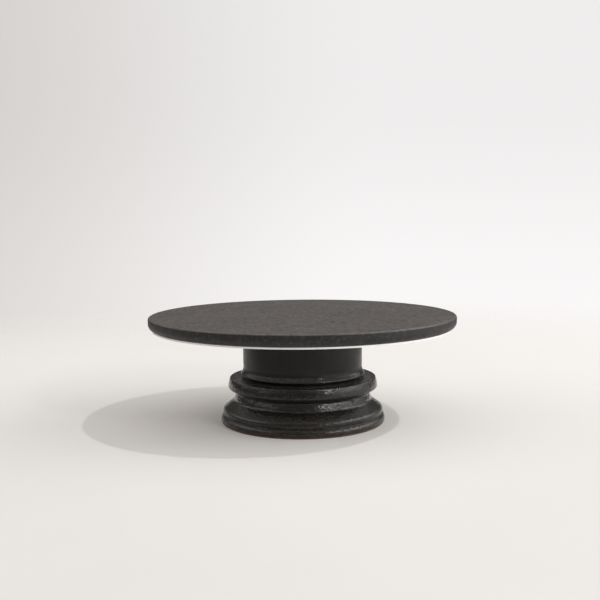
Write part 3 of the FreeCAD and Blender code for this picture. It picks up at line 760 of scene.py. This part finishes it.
MATERIALS = {
    "wheel_enamel": wheel_enamel(),
    "skirt_enamel": skirt_enamel(),
    "base_enamel": base_enamel(),
    "plate_aluminium": rolled_sheet("plate_aluminium", (0.97, 0.967, 0.955), (0.92, 0.917, 0.905), 0.5, 0.62),
    "zinc_screw": plated_steel("zinc_screw", (0.66, 0.67, 0.66), (0.5, 0.5, 0.48), 0.28, 0.42),
    "black_bolt": plated_steel("black_bolt", (0.045, 0.045, 0.048), (0.025, 0.024, 0.024), 0.35, 0.5),
    "ground_steel": turned_steel("ground_steel", (0.58, 0.575, 0.565), (0.47, 0.46, 0.445), 0.2, 0.34),
    "bearing_steel": turned_steel(
        "bearing_steel", (0.63, 0.63, 0.635), (0.54, 0.535, 0.53), 0.14, 0.26, 2400, 0.00001
    ),
    "ball_steel": plated_steel("ball_steel", (0.76, 0.76, 0.765), (0.7, 0.7, 0.7), 0.05, 0.12),
    "cage_brass": turned_steel("cage_brass", (0.76, 0.55, 0.25), (0.62, 0.42, 0.17), 0.24, 0.38),
    "cage_nylon": moulded_nylon(),
    "shield_steel": turned_steel("shield_steel", (0.6, 0.6, 0.595), (0.5, 0.49, 0.48), 0.26, 0.4, 1200),
    "spacer_steel": turned_steel(
        "spacer_steel", (0.52, 0.515, 0.505), (0.42, 0.41, 0.395), 0.28, 0.42, 1000, 0.00004
    ),
    "spring_steel": plated_steel("spring_steel", (0.1, 0.09, 0.085), (0.06, 0.052, 0.048), 0.4, 0.55),
    "turned_iron": turned_steel(
        "turned_iron", (0.3, 0.3, 0.295), (0.21, 0.205, 0.2), 0.38, 0.54, 800, 0.00006
    ),
    "cover_paint": cover_paint(),
    "grey_felt": felt("grey_felt", (0.115, 0.11, 0.105), (0.055, 0.052, 0.05), (0.2, 0.195, 0.185)),
    "brown_felt": felt("brown_felt", (0.105, 0.05, 0.028), (0.042, 0.02, 0.012), (0.19, 0.105, 0.062)),
}


# The castings and felts, turned from the CAD's outlines

CLAMPS = list(around(6, 24.0))
PLATE_SCREWS = list(around(8, 126.0))
DECK_BOLTS = list(around(6, 38.0))
COVER_LUGS = list(around(4, 61.0, 45))


def wheel():
    """The wheel head: working face, rounded arris, tucked-in rim, web, ribs, hub and tapped bosses."""
    r = WHEEL_R
    flank_z = HEIGHT - WHEEL_FACE_DROP
    web_z = HEIGHT - WHEEL_WEB
    pocket_z = WHEEL_Z + SPIGOT_POCKET
    turn = WHEEL_ARRIS * (1 - math.sqrt(0.5))
    tuck, drop = r - WHEEL_FOOT_R, flank_z - WHEEL_Z
    flank_r = (tuck**2 + drop**2) / (2 * tuck)
    half = 0.5 * math.asin(drop / flank_r)
    flank_mid = (r - flank_r * (1 - math.cos(half)), flank_z - flank_r * math.sin(half))
    runs = [
        (0.12, 4.0, [(r - 12, HEIGHT)]),
        (0.3, 0.5, [(r - WHEEL_ARRIS, HEIGHT), ((r - turn, HEIGHT - turn), (r, HEIGHT - WHEEL_ARRIS))]),
        (0.4, 0.8, [(r, flank_z)]),
        (0.5, 0.8, [(flank_mid, (WHEEL_FOOT_R, WHEEL_Z))]),
        (0.0, 5.0, [(WHEEL_RIM_IN_R, WHEEL_Z), (WHEEL_RIM_IN_R - 1, web_z)]),
        (0.0, 12.0, [(WHEEL_HUB_R + 1, web_z)]),
        (0.0, 5.0, [(WHEEL_HUB_R, WHEEL_Z), (SPIGOT_R, WHEEL_Z), (SPIGOT_R, pocket_z), (0, pocket_z)]),
    ]
    piece, coat = lathe("wheel_head_cast", (0, HEIGHT), runs, 640, 0.25)
    roughen(piece, coat, ((14, 0.12, 3.3), (4.5, 0.06, 9.1)))
    into = 2.0  # ribs run this far into the hub and the rim
    rib_z = (WHEEL_Z + 0.02, web_z + 0.8)  # just clear of the plate, and sunk in the web
    ribs = [bar(WHEEL_HUB_R - into, WHEEL_RIM_IN_R + into, RIB_WIDE, *rib_z, a) for a, _ in PLATE_SCREWS]
    bosses = [rod(RIB_BOSS_R, *rib_z, at) for _, at in PLATE_SCREWS]
    combine(piece, "UNION", ribs + bosses)
    below = WHEEL_Z - HOLE_SPARE
    holes = [rod(BOLT_R, below, HEIGHT - CLAMP_TOP_DROP, at) for _, at in CLAMPS]
    holes += [rod(SCREW_R, below, PLATE_Z + PLATE_TAP_DEEP, at) for _, at in PLATE_SCREWS]
    holes += [cone(SINK_R, SCREW_R, WHEEL_Z - 0.1, PLATE_Z + SINK_HIGH, at) for _, at in PLATE_SCREWS]
    combine(piece, "DIFFERENCE", holes)
    finish_piece(piece, MATERIALS["wheel_enamel"], "wheel_enamel", "head", "wheel_head")


def skirt():
    """The neck, with its flared lower rim."""
    rim, top = SKIRT_RIM_Z, PLATE_Z
    inside = SKIRT_R - SKIRT_WALL
    under = top - SKIRT_TOP_THICK
    corner = SKIRT_CORNER
    fillet = ((inside - 0.3 * corner, under - 0.3 * corner), (inside, under - corner))
    rim_side = tuple((r, rim + z) for r, z in (SKIRT_RIM_MID, SKIRT_RIM_TOP))
    runs = [
        (0.0, 5.0, [(SPIGOT_R, under), (inside - corner, under), fillet]),
        (0.25, 2.5, [(inside, rim)]),
        (1.0, 0.5, [(SKIRT_RIM_LOW_R, rim), rim_side]),
        (0.4, 0.6, [((SKIRT_R + 0.45, rim + 5.0), (SKIRT_R, SKIRT_FLARE_Z))]),
        (0.35, 1.4, [(SKIRT_R, top)]),
        (0.0, 6.0, [(SPIGOT_R, top)]),
    ]
    piece, coat = lathe("hub_skirt_cast", (SPIGOT_R, top), runs, 512, 0.2)
    roughen(piece, coat, ((18, 0.1, 5.7), (5, 0.04, 2.2)))
    combine(piece, "DIFFERENCE", [rod(BOLT_R, under - HOLE_SPARE, top + HOLE_SPARE, at) for _, at in CLAMPS])
    finish_piece(piece, MATERIALS["skirt_enamel"], "skirt_enamel", "head", "hub_skirt")


def over_foot(*points):
    """Base outline points, lifted from the casting's lower edge to the CAD frame."""
    return tuple((r, FOOT_Z + z) for r, z in points)


def base():
    """The base casting: foot bead, torus, groove and flange, hollow below its deck, with four cover posts."""
    deck_under = DECK_Z - DECK_THICK
    runs = [
        (0.0, 3.0, over_foot((FOOT_R, 0))),
        (1.0, 0.7, [over_foot(BEAD, CREASE), over_foot(SIDE_LOW_MID, SIDE_TOP)]),
        (1.0, 0.7, [over_foot(SHOULDER_MID, SLOPE_LOW), *over_foot(SLOPE_TOP)]),
        (1.0, 0.7, [over_foot(COVE_MID, GROOVE_WALL_LOW), *over_foot(GROOVE_WALL_TOP)]),
        (1.0, 0.7, [over_foot(GROOVE_MID, GROOVE_TOP)]),
        (1.0, 0.7, [*over_foot(FLANGE_LOW), over_foot(FLANGE_LOW_MID, FLANGE_SIDE_LOW)]),
        (1.0, 0.7, [over_foot(FLANGE_SIDE_MID, FLANGE_SIDE_TOP)]),
        (0.9, 0.6, [(*over_foot(FLANGE_TOP_MID), (FLANGE_DECK_R, DECK_Z)), (DECK_CAST_R, DECK_Z)]),
        (0.0, 5.0, [(HOUSING_R, DECK_Z), (HOUSING_R, BOSS_BOTTOM_Z)]),
        (0.0, 5.0, [(BOSS_R, BOSS_BOTTOM_Z), (BOSS_R + 1, deck_under)]),
        (0.6, 3.0, [(WALL_IN_R - 2, deck_under), (WALL_IN_R, WALL_IN_HIGH_Z), (WALL_IN_R, WALL_IN_WAIST_Z)]),
        (0.6, 3.0, [(FOOT_IN_R, WALL_IN_LOW_Z), (FOOT_IN_R, FOOT_Z)]),
    ]
    piece, coat = lathe("base_cast", (FOOT_IN_R, FOOT_Z), runs, 560, 0.3)
    roughen(piece, coat, ((16, 0.16, 1.9), (6.5, 0.1, 8.4), (2.7, 0.2, 4.6)))
    combine(piece, "UNION", [rod(COVER_LUG_R, COVER_LUG_Z, deck_under + 1, at) for _, at in COVER_LUGS])
    holes = [rod(BOLT_R, DECK_TAP_Z, DECK_Z + 1, at) for _, at in DECK_BOLTS]
    holes += [rod(SCREW_R, *COVER_TAP_Z, at) for _, at in COVER_LUGS]
    combine(piece, "DIFFERENCE", holes)
    finish_piece(piece, MATERIALS["base_enamel"], "base_enamel", "base", "base_casting")


def felt_ring(name, low, high, r_in, r_out, slot, node, bulge):
    """A pressed felt ring with rounded, slightly ragged edges."""
    edge = min(0.8, (high - low) * 0.35)
    middle = (low + high) / 2
    runs = [
        (0.15, 1.0, [(r_out - edge, low)]),
        (1.0, 0.5, [((r_out, middle), (r_out - edge, high))]),
        (0.15, 1.0, [(r_in + edge, high)]),
        (1.0, 0.5, [((r_in, middle), (r_in + edge, low))]),
    ]
    piece, coat = lathe(name, (r_in + edge, low), runs, 720, 0.15)
    roughen(piece, coat, ((7, 0.25 * bulge, 6.1), (1.8, 0.3 * bulge, 3.7)))
    finish_piece(piece, MATERIALS[slot], slot, "base", node, sharp=80)


wheel()
skirt()
base()
felt_ring("foot_felt", 0, FOOT_RING_TOP, FOOT_RING_IN_R, FOOT_RING_R, "brown_felt", "foot_ring", 0.9)
felt_ring("dust_felt", DECK_Z, DUST_RING_TOP, DUST_RING_IN_R, DUST_RING_R, "grey_felt", "felt_dust_ring", 1.0)

slot_of = {s["node"]: s["material_slot"] for s in frame["record"]["subparts"]}
for node, shape in frame["nodes"].items():
    shape.data.materials.clear()
    shape.data.materials.append(MATERIALS[slot_of[node]])


# Studio

FLOOR_HALF = 6.0
FLOOR_FADE = (0.35, 1.3)  # metres from the spindle over which the floor turns clear
WARM_WHITE = (1.0, 0.985, 0.96)
WHITE = (1.0, 0.99, 0.98)
AIM = Vector((0, 0, 0.05))
CAMERA_PLACE = (-0.002, -0.8463, 0.2006)
CAMERA_LENS = 51.9
CAMERA_DOWN = 0.096
CAMERA_LEAN = -0.009


def studio_floor():
    """A pale floor, painted lighter towards the back, that fades into the background far from the object."""
    n = Nodes("studio_floor")
    r, _ = n.radius()
    mottle = n.between(n.noise(3, 3, 0.5), 0.3, 0.7)
    near = n.mix(mottle, (0.675, 0.657, 0.642), (0.69, 0.673, 0.658))
    # The floor is painted lighter towards the back. This painted brightness gradient stands in for how the
    # room's light falls across it.
    away = n.between(n.axes(n.place)[1], -0.5, 0.6)
    colour = n.mix(away, near, (0.785, 0.768, 0.75))
    rough = n.between(n.noise(20), 0.3, 0.7, 0.75, 0.85)
    normal = n.bump(n.noise(500, 3, 0.6), 0.00003)
    n.set(Base_Color=colour, Roughness=rough, Normal=normal, Specular_IOR_Level=0.25)
    fade = n.add("ShaderNodeMixShader")
    n.link(n.between(r, *FLOOR_FADE), fade.inputs["Fac"])
    n.link(n.shader.outputs["BSDF"], fade.inputs[1])
    n.link(n.add("ShaderNodeBsdfTransparent").outputs[0], fade.inputs[2])
    n.link(fade.outputs[0], n.surface)
    half = FLOOR_HALF
    mesh = bpy.data.meshes.new("studio_floor")
    corners = [(-half, -half, 0), (half, -half, 0), (half, half, 0), (-half, half, 0)]
    mesh.from_pydata(corners, [], [(0, 1, 2, 3)])
    mesh.materials.append(n.material)
    floor = bpy.data.objects.new("studio_floor", mesh)
    bpy.context.scene.collection.objects.link(floor)


def studio_world():
    """The camera sees a pale ground, dimmer to the left. The object is lit by a soft room: an even
    ceiling, a bright wall at the right, a half-bright one at the left, and dim ones in front and behind."""
    world = bpy.data.worlds.new("studio")
    bpy.context.scene.world = world
    world.use_nodes = True
    w = Tree(world.node_tree)

    def glow(colour, strength):
        node = w.add("ShaderNodeBackground")
        w.link(colour, node.inputs["Color"])
        w.link(strength, node.inputs["Strength"])
        return node.outputs[0]

    across, along, up = w.axes(w.add("ShaderNodeTexCoord").outputs["Generated"])
    skirting = w.between(w.math("MULTIPLY_ADD", along, -0.25, across), 0.45, 1.1, 0.1, 1.25)
    sides = w.plus(w.between(across, 0.5, 0.95, 0.05, 3.0), w.between(across, -0.9, -0.5, 1.3, 0.0))
    walls = w.plus(w.between(along, -0.1, 0.65, 0.32, 0.12), sides)
    ceiling = w.between(up, 0.6, 0.95, 1.08, 1.05)
    upper = w.blend(w.between(up, 0.55, 0.9), walls, ceiling)
    level = w.blend(w.between(up, 0.12, 0.45), skirting, upper)
    room_tint = w.mix(w.between(across, -0.6, 0.6), (1.0, 0.965, 0.93), (1.0, 0.995, 0.985))
    ground_tint = w.mix(w.between(across, -0.44, 0.1), (0.645, 0.62, 0.60), (0.862, 0.845, 0.843))
    pick = w.add("ShaderNodeMixShader")
    w.link(w.add("ShaderNodeLightPath").outputs["Is Camera Ray"], pick.inputs["Fac"])
    w.link(glow(room_tint, level), pick.inputs[1])
    w.link(glow(ground_tint, w.between(up, -0.12, 0.15, 1.11, 1.0)), pick.inputs[2])
    w.link(pick.outputs[0], w.add("ShaderNodeOutputWorld").inputs["Surface"])


def lamp(name, direction, distance, watts, wide, tall, colour):
    """A round or oval lamp that points at the object."""
    data = bpy.data.lights.new(name, "AREA")
    data.shape = "ELLIPSE"
    data.size = wide
    data.size_y = tall
    data.energy = watts
    data.color = colour
    lamp_object = bpy.data.objects.new(name, data)
    away = Vector(direction).normalized()
    lamp_object.location = away * distance + AIM
    lamp_object.rotation_euler = away.to_track_quat("Z", "Y").to_euler()
    bpy.context.scene.collection.objects.link(lamp_object)


def camera():
    """The photograph's viewing angle: low, level with a slight lean."""
    data = bpy.data.cameras.new("camera")
    data.sensor_width = 36.0
    data.lens = CAMERA_LENS
    data.clip_start = 0.01
    data.clip_end = 50.0
    view = bpy.data.objects.new("camera", data)
    turn = Matrix.Rotation(math.pi / 2 - CAMERA_DOWN, 4, "X") @ Matrix.Rotation(CAMERA_LEAN, 4, "Z")
    view.matrix_world = Matrix.Translation(CAMERA_PLACE) @ turn
    bpy.context.scene.collection.objects.link(view)
    bpy.context.scene.camera = view


studio_floor()
studio_world()
lamp("key", (0.506, -0.134, 0.852), 3.0, 19.0, 0.06, 0.06, WARM_WHITE)
lamp("second", (0.58, -0.644, 0.39), 2.8, 11.0, 0.06, 0.4, WHITE)
lamp("window", (0.82, -0.25, 0.52), 2.4, 6.0, 1.6, 1.6, WHITE)
bpy.context.scene.view_settings.view_transform = "Standard"
camera()
